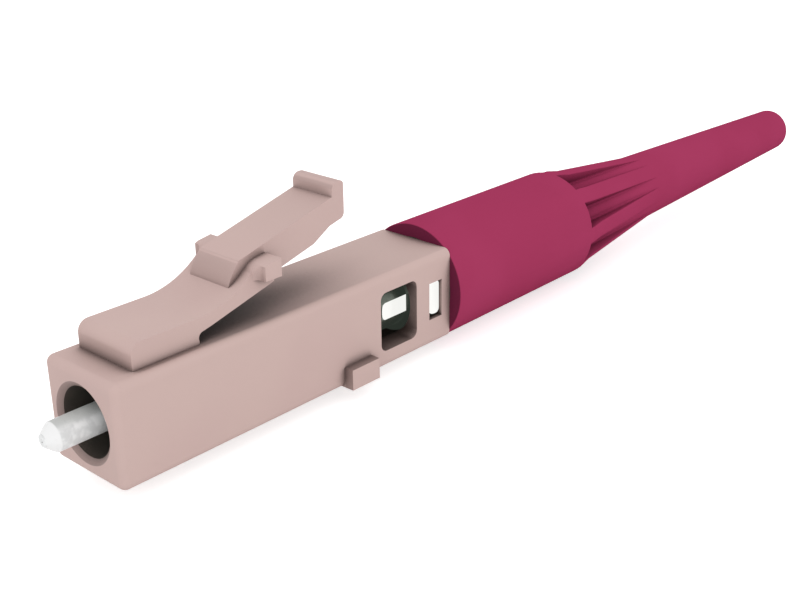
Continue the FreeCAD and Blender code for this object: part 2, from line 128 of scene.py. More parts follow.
# Thumb slab on the arm
SLAB_HALF = 1.20
SLAB_FOOT = 6.41
SLAB_FRONT_HEIGHT = 0.68
SLAB_BROW = 7.04
SLAB_BROW_DEPTH = 1.50
SLAB_BROW_BULGE = 0.06
KINK_X = 11.19
HEEL_X = 12.18
THUMB_END = 13.06
HEEL_RISE = 0.55
TOE_RISE = 0.14
TOE_R = 0.29
BAR_X = 12.36
BAR_HEIGHT = 0.62
BAR_R = 0.34
BAR_REAR_R = 0.19

# Ferrule
FERRULE_R = 0.6245
TIP_R = 0.29
TIP_FLAT = 0.10
TIP_TAPER = 0.47
TIP_DOME = 0.02
TIP_EDGE = 0.02
FOOT_BLEND = 0.05
FOOT_DROPS = (0.03, 0.006)
SHANK_R = 0.45
SHANK_STEP = 3.03
SHANK_EDGE = 0.04
FIBRE_R = 0.063
FUNNEL_R = 0.28
FUNNEL_LENGTH = 0.50
FERRULE_SHARP = 25

# Rear body
COLLAR_R = 1.82
BARREL_R = 1.48
BARREL_FLAT = 1.425
BARREL_LEAD = 0.20
BARREL_DROP = 0.055
COLLAR_LENGTH = 1.98
COLLAR_LEAD = 0.20
COLLAR_REAR_R = 2.25
COLLAR_REAR = 0.70
BODY_BORE_R = 0.88
BODY_BORE_EDGE = 0.05
POST_R = 1.40
GROOVE_COUNT = 3
GROOVE_PITCH = 1.20
GROOVE_DEPTH = 0.12
GROOVE_START = 0.80
SNAP_SLOT = 1.45
SNAP_LENGTH = 0.85
SNAP_RAMP = 0.12
SNAP_REACH = 2.10
SNAP_SINK = 0.4
SNAP_FOOT = -0.78
SNAP_TOP = 0.88
SNAP_CORNER_R = 0.22
SNAP_FOOT_R = 0.50

# Spring
WIRE_R = 0.14
COIL_R = 1.22
COIL_TURNS = 7
COIL_STEPS = 48

# Boot, one of its eight like sectors. A pocket's front wall is given by points behind its start,
# with their depth under the skin at the brow and their height over the core at the foot
BOOT_R = -BOOT_LOW.z
BOOT_REAR_R = 2.92
BOOT_BODY_END = 30.30
BOOT_SLOPE_END = 31.25
BOOT_SLOPE_R = 2.72
POCKET_START = 30.05
POCKET_BROW = ((-0.06, 0), (-0.02, 0.015), (0, 0.06))
POCKET_FOOT = ((0, 0.12), (0.04, 0.035), (0.12, 0))
BODY_ROW = 4
RIB_END = 38.58
RIB_END_GAP = 0.01
RIB_STEPS = 12
RIB_COUNT = 8
RIB_HALF = 0.44
RIB_EDGE = 0.06
RIB_ROOT = 0.14
TAIL_R = 1.908
TAIL_END_R = 1.353
TAIL_END = 56.30
TAIL_TIP_R = 0.30
TAIL_STEPS = 5
TIP_STEPS = 8
RIM_EDGE = 0.06
ROOM_R = 2.30
ROOM_END = 19.68
CAVITY_R = 1.81
CAVITY_END = 28.58
CAVITY_CONE = 0.60
CORD_BORE_R = 1.05
BORE_LEAD = 0.12
WELD = 0.0015
BOOT_MERGE = 0.002
BOOT_SHARP = 40


def point(x, z):
    return Vector((x, z))


def arc(centre, radius, start, end, steps):
    """Points on an arc, both ends included; angles in degrees from +X towards +Z."""
    found = []
    for step in range(steps + 1):
        angle = math.radians(start + (end - start) * step / steps)
        found.append(centre + point(math.cos(angle), math.sin(angle)) * radius)
    return found


def bowed(start, end, bulge, steps):
    """Points between two ends that stand out to the left by the bulge, as a shallow arc."""
    way = end - start
    left = point(-way.y, way.x).normalized()
    found = []
    for step in range(steps + 1):
        share = step / steps
        found.append(start + way * share + left * (4 * bulge * share * (1 - share)))
    return found


def rounded_box(low, high, radius, foot):
    """Closed outline of a box with rounded corners; the low front one has its own radius."""
    inner = [
        (point(high.x - radius, high.y - radius), radius, 0),
        (point(low.x + radius, high.y - radius), radius, 90),
        (point(low.x + foot, low.y + foot), foot, 180),
        (point(high.x - radius, low.y + radius), radius, 270),
    ]
    found = []
    for centre, size, turn in inner:
        found += arc(centre, size, turn, turn + 90, 5)
    return found


def straight(start, end, steps):
    """Points from start to just before end."""
    return [start.lerp(end, step / steps) for step in range(steps)]


def new_piece(name, points, faces):
    mesh = bpy.data.meshes.new(name)
    mesh.from_pydata([Vector(p) * MM for p in points], [], faces)
    piece = bpy.data.objects.new(name, mesh)
    bpy.context.scene.collection.objects.link(piece)
    return piece


def tidy_mesh(piece, distance=1e-4):
    """Merges doubles, drops what has no area and turns the faces outwards."""
    work = bmesh.new()
    work.from_mesh(piece.data)
    bmesh.ops.remove_doubles(work, verts=work.verts, dist=distance * MM)
    bmesh.ops.dissolve_degenerate(work, edges=work.edges, dist=distance * MM)
    bmesh.ops.recalc_face_normals(work, faces=work.faces)
    work.to_mesh(piece.data)
    work.free()


def plate(name, outline, half, across="y"):
    """Closed outline made as thick as twice the half width, across Y or across Z."""
    sides = []
    for side in (-half, half):
        for a, b in outline:
            sides.append((a, side, b) if across == "y" else (a, b, side))
    count = len(outline)
    faces = [tuple(range(count)), tuple(range(2 * count - 1, count - 1, -1))]
    for step in range(count):
        after = (step + 1) % count
        faces.append((step, after, count + after, count + step))
    piece = new_piece(name, sides, faces)
    tidy_mesh(piece)
    return piece


def turned(name, profile, steps=96):
    """Closed ring profile of (x, radius) points turned round the X axis."""
    points = []
    for step in range(steps):
        angle = 2 * math.pi * step / steps
        for x, radius in profile:
            points.append((x, radius * math.cos(angle), radius * math.sin(angle)))
    count = len(profile)
    faces = []
    for step in range(steps):
        here = step * count
        there = (step + 1) % steps * count
        for k in range(count):
            after = (k + 1) % count
            faces.append((here + k, here + after, there + after, there + k))
    piece = new_piece(name, points, faces)
    tidy_mesh(piece)
    return piece


def settle(piece):
    """Turns the modifiers' result into the piece's own plain mesh."""
    graph = bpy.context.evaluated_depsgraph_get()
    graph.update()
    mesh = bpy.data.meshes.new_from_object(piece.evaluated_get(graph))
    piece.modifiers.clear()
    piece.data = mesh


def combine(base, operation, *others):
    """Adds or cuts the other solids, which are used up."""
    for other in others:
        step = base.modifiers.new("combine", "BOOLEAN")
        step.operation = operation
        step.solver = "EXACT"
        step.object = other
    settle(base)
    for other in others:
        bpy.data.objects.remove(other)
    tidy_mesh(base)


def round_edges(piece, width, segments, wanted):
    """Rounds the edges whose two ends pass the test."""
    work = bmesh.new()
    work.from_mesh(piece.data)
    chosen = [e for e in work.edges if wanted(e.verts[0].co / MM, e.verts[1].co / MM)]
    bmesh.ops.bevel(
        work, geom=chosen, offset=width * MM, offset_type="OFFSET", segments=segments,
        profile=0.5, affect="EDGES", clamp_overlap=True)
    work.to_mesh(piece.data)
    work.free()


def sharp(edge, angle):
    return len(edge.link_faces) == 2 and edge.calc_face_angle() > math.radians(angle)


def soften(piece, width, flush_x=math.inf):
    """Breaks the sharp outer edges a little, keeps inner corners crisp and the flats flat. The
    edges that lie flush against a neighbour at or behind this place stay sharp."""
    work = bmesh.new()
    work.from_mesh(piece.data)
    bmesh.ops.dissolve_limit(
        work, angle_limit=math.radians(FLAT_ANGLE), verts=work.verts, edges=work.edges,
        use_dissolve_boundaries=False)
    weight = work.edges.layers.float.new("bevel_weight_edge")
    for edge in work.edges:
        free = min(v.co.x for v in edge.verts) < flush_x * MM
        edge[weight] = 1.0 if free and sharp(edge, SHARP_ANGLE) and edge.is_convex else 0.0
    work.to_mesh(piece.data)
    work.free()
    edges = piece.modifiers.new("edges", "BEVEL")
    edges.width = width * MM
    edges.segments = EDGE_STEPS
    edges.limit_method = "WEIGHT"
    edges.miter_outer = "MITER_ARC"
    settle(piece)
    smooth_by_angle(piece, SHARP_ANGLE)
    weights = piece.modifiers.new("weights", "WEIGHTED_NORMAL")
    weights.weight = 80
    weights.keep_sharp = True
    settle(piece)


def cad_copy(node, name):
    """A merged copy of a frame node's mesh, for a piece that replaces it."""
    piece = bpy.data.objects.new(name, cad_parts[node].data.copy())
    piece.data.materials.clear()
    bpy.context.scene.collection.objects.link(piece)
    if piece.data.has_custom_normals:
        with bpy.context.temp_override(object=piece):
            bpy.ops.mesh.customdata_custom_splitnormals_clear()
    tidy_mesh(piece)
    return piece


def plug_shell():
    """The housing without its latch root, which the latch piece brings along."""
    shell = cad_copy("housing", "plug_shell")
    cutter = plate("root_cutter", [
        point(ROOT_FRONT - CUT_AHEAD, PLUG_HALF),
        point(BEND_X + CUT_BEHIND, PLUG_HALF),
        point(BEND_X + CUT_BEHIND, ROOT_TOP + CUT_ABOVE),
        point(ROOT_FRONT - CUT_AHEAD, ROOT_TOP + CUT_ABOVE),
    ], LATCH_HALF + CUT_BESIDE)
    combine(shell, "DIFFERENCE", cutter)
    soften(shell, SOFT_EDGE, flush_x=PLUG_END - SOFT_EDGE)
    return shell


def under_z(x):
    return UNDER_Z + (x - BEND_X) * math.tan(ARM_RISE)


def crest_line():
    """The top from the end of the sweep to the crest."""
    way = point(math.sin(SWEEP_ANGLE), -math.cos(SWEEP_ANGLE))
    rise = point(SWEEP_START, ROOT_TOP + SWEEP_R) + way * SWEEP_R
    return bowed(rise, CREST, CREST_BULGE, 4)


def wing_outline():
    """Side view of the root and the full-width part of the arm, clockwise from the root's foot."""
    low = PLUG_HALF - LATCH_SINK
    nose = point(ROOT_FRONT + ROOT_NOSE_R, ROOT_TOP - ROOT_NOSE_R)
    sweep = point(SWEEP_START, ROOT_TOP + SWEEP_R)
    notch = point(NOTCH_FRONT + NOTCH_HEIGHT / 2, PLUG_HALF + NOTCH_HEIGHT / 2)
    back = CREST + point(1, math.tan(CREST_SLOPE)) * (CREST_REAR - CREST.x)
    outline = [point(ROOT_FRONT, low)]
    outline += arc(nose, ROOT_NOSE_R, 180, 90, 8)
    outline += straight(point(ROOT_FLAT_START, ROOT_TOP), point(SWEEP_START, ROOT_TOP), 4)
    outline += arc(sweep, SWEEP_R, -90, math.degrees(SWEEP_ANGLE) - 90, 24)
    outline += crest_line()[1:]
    outline += [back]
    under = [point(x, under_z(x)) for x in (CREST_REAR, UNDER_START)]
    outline += straight(*under, 20)
    outline += arc(notch, NOTCH_HEIGHT / 2, 90, 200, 10)
    outline += [point(NOTCH_FRONT + NOTCH_FOOT, low)]
    return outline


def slab_outline():
    """Side view of the thumb slab with the bar across its end."""
    rise = math.tan(ARM_RISE)
    foot = point(SLAB_FOOT, under_z(SLAB_FOOT))
    front = foot + point(0, SLAB_FRONT_HEIGHT)
    brow = point(SLAB_BROW, under_z(SLAB_BROW) + SLAB_BROW_DEPTH)
    knee = point(KINK_X, under_z(KINK_X))
    heel = knee + point(HEEL_X - KINK_X, HEEL_RISE)
    toe = point(THUMB_END - TOE_R, heel.y + TOE_RISE + TOE_R)
    bar_foot = point(BAR_X, brow.y + (BAR_X - brow.x) * rise)
    bar_top = bar_foot.y + BAR_HEIGHT
    outline = [foot]
    outline += bowed(front, brow, SLAB_BROW_BULGE, 8)
    outline += [bar_foot]
    outline += arc(point(BAR_X + BAR_R, bar_top - BAR_R), BAR_R, 180, 90, 8)
    outline += arc(point(THUMB_END - BAR_REAR_R, bar_top - BAR_REAR_R), BAR_REAR_R, 90, 0, 6)
    outline += arc(toe, TOE_R, 0, -90, 8)
    outline += [heel, knee]
    return outline


def latch():
    """Root and arm as the one moulding they are."""
    piece = plate("latch_spring_arm", wing_outline(), LATCH_HALF)

    def top_side(a, b):
        rear = max(a.x, b.x)
        low = min(a.z, b.z)
        at_side = abs(abs(a.y) - LATCH_HALF) < SAME and abs(a.y - b.y) < SAME
        above = min(a.z - under_z(a.x), b.z - under_z(b.x)) > UNDER_ROOM
        on_root = rear < NOTCH_FRONT + ROOT_ROOM and low > PLUG_HALF + ROOT_ROOM
        on_arm = above and low > ROOT_TOP - ROOT_NOSE_R - NOSE_ROOM
        return at_side and rear < LUG_FRONT - LUG_FILLET and (on_root or on_arm)

    def front_corner(a, b):
        return max(a.x, b.x) < ROOT_FRONT + SAME and abs(a.y - b.y) < SAME

    round_edges(piece, LATCH_EDGE, 4, lambda a, b: top_side(a, b) or front_corner(a, b))
    back_top = CREST.y + (CREST_REAR - CREST.x) * math.tan(CREST_SLOPE)
    start = LUG_FRONT - LUG_FILLET
    sweep_z = ROOT_TOP + SWEEP_R - math.sqrt(SWEEP_R ** 2 - (start - SWEEP_START) ** 2)
    lug = plate("lug", [
        point(start, CREST.y - LUG_DEPTH),
        point(start, sweep_z),
        *crest_line(),
        point(CREST_REAR, back_top),
        point(CREST_REAR, CREST.y - LUG_DEPTH),
    ], LUG_HALF)
    half_plan = [point(start, LATCH_HALF - LUG_LAP)]
    half_plan += arc(point(start, LATCH_HALF + LUG_FILLET), LUG_FILLET, -90, 0, 6)
    half_plan += [point(x, LUG_HALF + LUG_CLEAR) for x in (LUG_FRONT, CREST_REAR + LUG_CLEAR)]
    mirrored = [point(p.x, -p.y) for p in reversed(half_plan)]
    combine(lug, "INTERSECT", plate("lug_plan", half_plan + mirrored, ARM_HIGH.z, across="z"))
    slab = plate("slab", slab_outline(), SLAB_HALF)
    combine(piece, "UNION", lug, slab)
    soften(piece, SOFT_EDGE)
    return piece


def ferrule_rod():
    tip = FERRULE_LOW.x
    rear = FERRULE_HIGH.x
    cone = tip + TIP_TAPER
    rod = turned("ferrule_rod", [
        (tip, FIBRE_R),
        (tip, TIP_R - TIP_FLAT),
        (tip + TIP_DOME, TIP_R - TIP_EDGE),
        (tip + TIP_DOME + TIP_EDGE, TIP_R),
        (cone - FOOT_BLEND, FERRULE_R - FOOT_DROPS[0]),
        (cone, FERRULE_R - FOOT_DROPS[1]),
        (cone + FOOT_BLEND, FERRULE_R),
        (SHANK_STEP - SHANK_EDGE, FERRULE_R),
        (SHANK_STEP, FERRULE_R - SHANK_EDGE),
        (SHANK_STEP, SHANK_R),
        (rear, SHANK_R),
        (rear, FUNNEL_R),
        (rear - FUNNEL_LENGTH, FIBRE_R),
    ])
    smooth_by_angle(rod, FERRULE_SHARP)
    return rod


def smooth_by_angle(piece, angle):
    piece.data.shade_smooth()
    work = bmesh.new()
    work.from_mesh(piece.data)
    for edge in work.edges:
        edge.smooth = not sharp(edge, angle)
    work.to_mesh(piece.data)
    work.free()


def stop_body():
    """Barrel, collar with its two snap lugs, and the grooved post under the crimp sleeve."""
    front = BODY_LOW.x
    end = BODY_HIGH.x
    collar = PLUG_END - COLLAR_LENGTH
    post = PLUG_END + COLLAR_REAR
    profile = [
        (front, BODY_BORE_R + BODY_BORE_EDGE),
        (front, BARREL_R - BARREL_DROP),
        (front + BARREL_LEAD, BARREL_R),
        (collar - COLLAR_LEAD, BARREL_R),
        (collar, COLLAR_R),
        (PLUG_END, COLLAR_R),
        (PLUG_END, COLLAR_REAR_R),
        (post, COLLAR_REAR_R),
        (post, POST_R),
    ]
    for step in range(GROOVE_COUNT):
        x = post + GROOVE_START + step * GROOVE_PITCH
        for k, drop in enumerate((0, GROOVE_DEPTH, 0)):
            profile.append((x + k * GROOVE_DEPTH, POST_R - drop))
    profile += [(end - GROOVE_DEPTH, POST_R), (end, POST_R - GROOVE_DEPTH), (end, BODY_BORE_R)]
    profile += [(front + BODY_BORE_EDGE, BODY_BORE_R)]
    body = turned("stop_body", profile, steps=128)
    for side in (1, -1):
        beside = plate("beside", [
            point(front - 1, side * BARREL_FLAT),
            point(collar - COLLAR_LEAD, side * BARREL_FLAT),
            point(collar - COLLAR_LEAD, side * PLUG_HALF),
            point(front - 1, side * PLUG_HALF),
        ], PLUG_HALF, across="z")
        combine(body, "DIFFERENCE", beside)
    lug_front = PLUG_END - SNAP_SLOT
    lug_rear = lug_front + SNAP_LENGTH
    lugs = []
    for side in (1, -1):
        lug = plate("snap_lug", [
            point(lug_front, side * (COLLAR_R - SNAP_SINK)),
            point(lug_front, side * COLLAR_R),
            point(lug_front + SNAP_RAMP, side * SNAP_REACH),
            point(lug_rear, side * SNAP_REACH),
            point(lug_rear, side * (COLLAR_R - SNAP_SINK)),
        ], PLUG_HALF, across="z")
        low_front = point(lug_front, SNAP_FOOT)
        face = rounded_box(low_front, point(lug_rear, SNAP_TOP), SNAP_CORNER_R, SNAP_FOOT_R)
        combine(lug, "INTERSECT", plate("lug_face", face, PLUG_HALF))
        lugs.append(lug)
    combine(body, "UNION", *lugs)
    soften(body, METAL_EDGE)
    return body


def socket(tree, name, kind, side="INPUT", value=None):
    made = tree.interface.new_socket(name=name, in_out=side, socket_type=kind)
    if value is not None:
        made.default_value = value
    return made


def tree_node(tree, kind, **values):
    node = tree.nodes.new(kind)
    for name, value in values.items():
        setattr(node, name, value)
    return node


def arithmetic(tree, operation, first, second=None):
    """Result of a maths node on sockets or plain numbers."""
    node = tree_node(tree, "ShaderNodeMath", operation=operation)
    for place, value in enumerate((first, second)):
        if isinstance(value, bpy.types.NodeSocket):
            tree.links.new(value, node.inputs[place])
        elif value is not None:
            node.inputs[place].default_value = value
    return node.outputs[0]


def smooth_range(tree, source, low, high, falling=False):
    """Goes from 0 to 1 between these two values of the source, or from 1 to 0."""
    node = tree_node(tree, "ShaderNodeMapRange", interpolation_type="SMOOTHSTEP")
    ends = (low, high, 1.0, 0.0) if falling else (low, high, 0.0, 1.0)
    for name, value in zip(("From Min", "From Max", "To Min", "To Max"), ends):
        node.inputs[name].default_value = value
    tree.links.new(source, node.inputs["Value"])
    return node.outputs[0]


def round_pattern_tree():
    """Copies a sector round the X axis and welds the copies into one skin."""
    tree = bpy.data.node_groups.new("round_pattern", "GeometryNodeTree")
    socket(tree, "Sector", "NodeSocketGeometry")
    socket(tree, "Count", "NodeSocketInt", value=RIB_COUNT)
    socket(tree, "Weld Distance", "NodeSocketFloat", value=1e-6)
    socket(tree, "Material", "NodeSocketMaterial")
    socket(tree, "Skin", "NodeSocketGeometry", "OUTPUT")
    given = tree_node(tree, "NodeGroupInput")
    made = tree_node(tree, "NodeGroupOutput")
    spots = tree_node(tree, "GeometryNodeMeshLine", mode="OFFSET")
    spots.inputs["Offset"].default_value = (0, 0, 0)
    index = tree_node(tree, "GeometryNodeInputIndex")
    share = arithmetic(tree, "DIVIDE", index.outputs[0], given.outputs["Count"])
    turn = arithmetic(tree, "MULTIPLY", share, 2 * math.pi)
    about_x = tree_node(tree, "ShaderNodeCombineXYZ")
    place = tree_node(tree, "GeometryNodeInstanceOnPoints")
    real = tree_node(tree, "GeometryNodeRealizeInstances")
    weld = tree_node(tree, "GeometryNodeMergeByDistance")
    paint = tree_node(tree, "GeometryNodeSetMaterial")
    link = tree.links.new
    link(given.outputs["Count"], spots.inputs["Count"])
    link(turn, about_x.inputs["X"])
    link(spots.outputs["Mesh"], place.inputs["Points"])
    link(given.outputs["Sector"], place.inputs["Instance"])
    link(about_x.outputs[0], place.inputs["Rotation"])
    link(place.outputs["Instances"], real.inputs["Geometry"])
    link(real.outputs["Geometry"], weld.inputs["Geometry"])
    link(given.outputs["Weld Distance"], weld.inputs["Distance"])
    link(weld.outputs["Geometry"], paint.inputs["Geometry"])
    link(given.outputs["Material"], paint.inputs["Material"])
    link(paint.outputs["Geometry"], made.inputs["Skin"])
    return tree


def coil_tree():
    """Round wire wound about the X axis, with its two ends cut flat by the length."""
    tree = bpy.data.node_groups.new("wound_coil", "GeometryNodeTree")
    socket(tree, "Given", "NodeSocketGeometry")
    socket(tree, "Turns", "NodeSocketFloat", value=float(COIL_TURNS))
    socket(tree, "Steps Per Turn", "NodeSocketInt", value=COIL_STEPS)
    socket(tree, "Coil Radius", "NodeSocketFloat", value=0.001)
    socket(tree, "Length", "NodeSocketFloat", value=0.01)
    socket(tree, "Wire Radius", "NodeSocketFloat", value=0.0001)
    socket(tree, "Start", "NodeSocketVector")
    socket(tree, "Material", "NodeSocketMaterial")
    socket(tree, "Coil", "NodeSocketGeometry", "OUTPUT")
    given = tree_node(tree, "NodeGroupInput")
    made = tree_node(tree, "NodeGroupOutput")
    line = tree_node(tree, "GeometryNodeCurveSpiral")
    lie = tree_node(tree, "GeometryNodeTransform")
    lie.inputs["Rotation"].default_value = (0, math.pi / 2, 0)
    wire = tree_node(tree, "GeometryNodeCurvePrimitiveCircle")
    wire.inputs["Resolution"].default_value = 14
    sweep = tree_node(tree, "GeometryNodeCurveToMesh")
    sweep.inputs["Fill Caps"].default_value = True
    shade = tree_node(tree, "GeometryNodeSetShadeSmooth")
    real = tree_node(tree, "GeometryNodeRealizeInstances")
    paint = tree_node(tree, "GeometryNodeSetMaterial")
    link = tree.links.new
    link(given.outputs["Steps Per Turn"], line.inputs["Resolution"])
    link(given.outputs["Turns"], line.inputs["Rotations"])
    link(given.outputs["Coil Radius"], line.inputs["Start Radius"])
    link(given.outputs["Coil Radius"], line.inputs["End Radius"])
    link(given.outputs["Length"], line.inputs["Height"])
    link(line.outputs["Curve"], lie.inputs["Geometry"])
    link(given.outputs["Start"], lie.inputs["Translation"])
    link(given.outputs["Wire Radius"], wire.inputs["Radius"])
    link(lie.outputs["Geometry"], sweep.inputs["Curve"])
    link(wire.outputs["Curve"], sweep.inputs["Profile Curve"])
    link(sweep.outputs["Mesh"], shade.inputs["Geometry"])
    link(shade.outputs["Geometry"], real.inputs["Geometry"])
    link(real.outputs["Geometry"], paint.inputs["Geometry"])
    link(given.outputs["Material"], paint.inputs["Material"])
    link(paint.outputs["Geometry"], made.inputs["Coil"])
    return tree


def grow(piece, tree, **values):
    """Runs a geometry tree on the piece with its named inputs and keeps the plain mesh."""
    step = piece.modifiers.new("grow", "NODES")
    step.node_group = tree
    for item in tree.interface.items_tree:
        key = item.name.lower().replace(" ", "_")
        if item.in_out == "INPUT" and key in values:
            step[item.identifier] = values[key]
    settle(piece)


def rib_section(outer, core):
    """Half sector outline at one place, from the rib's middle to the pocket's middle. Each point
    is its angle on the full outer circle, and its (y, z) place with the pocket cut."""
    height = outer - core
    edge = min(RIB_EDGE, height / 2)
    root = min(RIB_ROOT, height / 2)
    wall_top = math.sqrt(outer * outer - RIB_HALF * RIB_HALF)
    wall_foot = math.sqrt(core * core - (RIB_HALF + root) ** 2)
    corner = math.asin(RIB_HALF / outer)
    found = []
    for step in range(4):
        y = (RIB_HALF - edge) * step / 3
        found.append((math.asin(y / outer), (y, math.sqrt(outer * outer - y * y))))
    for step in range(1, 4):
        angle = math.pi / 2 * step / 3
        y = RIB_HALF - edge + edge * math.sin(angle)
        found.append((corner, (y, wall_top - edge + edge * math.cos(angle))))
    for step in range(5):
        angle = math.pi / 2 * step / 4
        y = RIB_HALF + root - root * math.cos(angle)
        found.append((corner, (y, wall_foot + root - root * math.sin(angle))))
    half_turn = math.pi / RIB_COUNT
    first = math.asin((RIB_HALF + root) / core)
    for step in range(1, 6):
        angle = first + (half_turn - first) * step / 5
        wide = corner + (half_turn - corner) * step / 5
        found.append((wide, (core * math.sin(angle), core * math.cos(angle))))
    return found


def plain_section(radius):
    """The same columns on a full circle."""
    like = rib_section(max(radius, TAIL_R), max(radius, TAIL_R) - 1e-4)
    return [(radius * math.sin(angle), radius * math.cos(angle)) for angle, _ in like]


def boot_rows():
    """Rows of the sector's skin, as (x, outer radius, core radius, how deep the pocket is)."""
    tip_x = TAIL_END - TAIL_TIP_R
    tip_r = TAIL_END_R - TAIL_TIP_R

    def core_r(x):
        return TAIL_R + (TAIL_R - TAIL_END_R) * (RIB_END - x) / (tip_x - RIB_END)

    def body_r(x):
        return BOOT_R + (BOOT_REAR_R - BOOT_R) * (x - PLUG_END) / (BOOT_BODY_END - PLUG_END)

    def rib_r(x):
        share = (x - BOOT_SLOPE_END) / (RIB_END - BOOT_SLOPE_END)
        return BOOT_SLOPE_R + (TAIL_R - BOOT_SLOPE_R) * share

    rows = [(PLUG_END, ROOM_R), (PLUG_END, BOOT_R - RIM_EDGE)]
    for turn in (30, 60, 90):
        angle = math.radians(turn)
        back = RIM_EDGE * (1 - math.cos(angle))
        rows.append((PLUG_END + back, BOOT_R - RIM_EDGE * (1 - math.sin(angle))))
    rows.append((PLUG_END + BODY_ROW, body_r(PLUG_END + BODY_ROW)))
    rows = [(x, r, None, 0) for x, r in rows]
    start = POCKET_START
    full = body_r(start)
    drop = full - core_r(start)
    front = [(back, below / drop) for back, below in POCKET_BROW] + [(0, 0.5)]
    front += [(back, 1 - above / drop) for back, above in POCKET_FOOT]
    rows += [(start + back, full, core_r(start), deep) for back, deep in front]
    rows.append((BOOT_BODY_END, body_r(BOOT_BODY_END), core_r(BOOT_BODY_END), 1))
    rows.append((BOOT_SLOPE_END, BOOT_SLOPE_R, core_r(BOOT_SLOPE_END), 1))
    for step in range(1, RIB_STEPS + 1):
        x = BOOT_SLOPE_END + (RIB_END - BOOT_SLOPE_END) * step / RIB_STEPS
        if step == RIB_STEPS:
            x -= RIB_END_GAP
        rows.append((x, rib_r(x), core_r(x), 1))
    for step in range(1, TAIL_STEPS):
        x = RIB_END + (tip_x - RIB_END) * step / TAIL_STEPS
        rows.append((x, core_r(x), None, 0))
    # The round of the tip ends where it meets the bore's lead of 45 degrees
    inset = TAIL_TIP_R - BORE_LEAD - (CORD_BORE_R - tip_r)
    lowest = math.pi / 4 - math.asin(inset / TAIL_TIP_R / math.sqrt(2))
    for step in range(TIP_STEPS + 1):
        angle = math.pi / 2 + (lowest - math.pi / 2) * step / TIP_STEPS
        across = tip_r + TAIL_TIP_R * math.sin(angle)
        rows.append((tip_x + TAIL_TIP_R * math.cos(angle), across, None, 0))
    inside = [
        (TAIL_END - BORE_LEAD, CORD_BORE_R),
        (CAVITY_END + CAVITY_CONE, CORD_BORE_R),
        (CAVITY_END, CAVITY_R),
        (ROOM_END, CAVITY_R),
        (ROOM_END, ROOM_R),
        (PLUG_END, ROOM_R),
    ]
    return rows + [(x, r, None, 0) for x, r in inside]


def boot_sector():
    """One eighth of the boot, with a rib in its middle, as one strip of skin per row."""
    points = []
    width = 0
    for x, outer, core, deep in boot_rows():
        half = plain_section(outer)
        if deep > 0:
            half = []
            for angle, cut in rib_section(outer, core):
                y = outer * math.sin(angle)
                z = outer * math.cos(angle)
                half.append((y + (cut[0] - y) * deep, z + (cut[1] - z) * deep))
        across = [(-y, z) for y, z in reversed(half[1:])] + half
        width = len(across)
        points += [(x, y, z) for y, z in across]
    faces = []
    for row in range(len(points) // width - 1):
        for column in range(width - 1):
            a = row * width + column
            faces.append((a, a + 1, a + 1 + width, a + width))
    return new_piece("boot_skin", points, faces)


def boot_skin(material):
    piece = boot_sector()
    grow(piece, round_pattern_tree(), count=RIB_COUNT, weld_distance=WELD * MM, material=material)
    tidy_mesh(piece, BOOT_MERGE)
    smooth_by_angle(piece, BOOT_SHARP)
    return piece


def wound_spring(material):
    piece = new_piece("wound_spring", [], [])
    low = SPRING_LOW.x + WIRE_R
    length = SPRING_HIGH.x - SPRING_LOW.x - 2 * WIRE_R
    grow(
        piece, coil_tree(), turns=float(COIL_TURNS), steps_per_turn=COIL_STEPS,
        coil_radius=COIL_R * MM, length=length * MM, wire_radius=WIRE_R * MM,
        start=(low * MM, 0, 0), material=material)
    return piece


def shader_group(name, inputs, outputs):
    """New shader group with its sockets; gives the tree and its two ends."""
    tree = bpy.data.node_groups.new(name, "ShaderNodeTree")
    for label, kind, value in inputs:
        socket(tree, label, kind, value=value)
    for label, kind in outputs:
        socket(tree, label, kind, "OUTPUT")
    return tree, tree_node(tree, "NodeGroupInput"), tree_node(tree, "NodeGroupOutput")


def sized_noise(tree, given, size, detail, stretch=None):
    """Noise whose grains are as large as the group's input says, in millimetres."""
    noise = tree_node(tree, "ShaderNodeTexNoise")
    noise.inputs["Detail"].default_value = detail
    tree.links.new(arithmetic(tree, "DIVIDE", 1 / MM, given.outputs[size]), noise.inputs["Scale"])
    source = given.outputs["Vector"]
    if stretch:
        squeeze = tree_node(tree, "ShaderNodeVectorMath", operation="MULTIPLY")
        squeeze.inputs[1].default_value = stretch
        tree.links.new(source, squeeze.inputs[0])
        source = squeeze.outputs[0]
    tree.links.new(source, noise.inputs["Vector"])
    return noise


def moulded_skin_group():
    """Fine spark-eroded grain and a slow drift of tone, as moulded plastic has."""
    tree, given, made = shader_group("moulded_skin", [
        ("Vector", "NodeSocketVector", None),
        ("Grain Size", "NodeSocketFloat", 0.06),
        ("Drift Size", "NodeSocketFloat", 4.0),
        ("Drift", "NodeSocketFloat", 0.5),
    ], [("Height", "NodeSocketFloat"), ("Tone", "NodeSocketFloat")])
    grain = sized_noise(tree, given, "Grain Size", 2.0)
    drift = sized_noise(tree, given, "Drift Size", 2.0)
    tree.links.new(grain.outputs["Fac"], made.inputs["Height"])
    mix = tree_node(tree, "ShaderNodeMix")
    mix.inputs["A"].default_value = 0.5
    tree.links.new(given.outputs["Drift"], mix.inputs["Factor"])
    tree.links.new(smooth_range(tree, drift.outputs["Fac"], 0.35, 0.65), mix.inputs["B"])
    tree.links.new(mix.outputs["Result"], made.inputs["Tone"])
    return tree


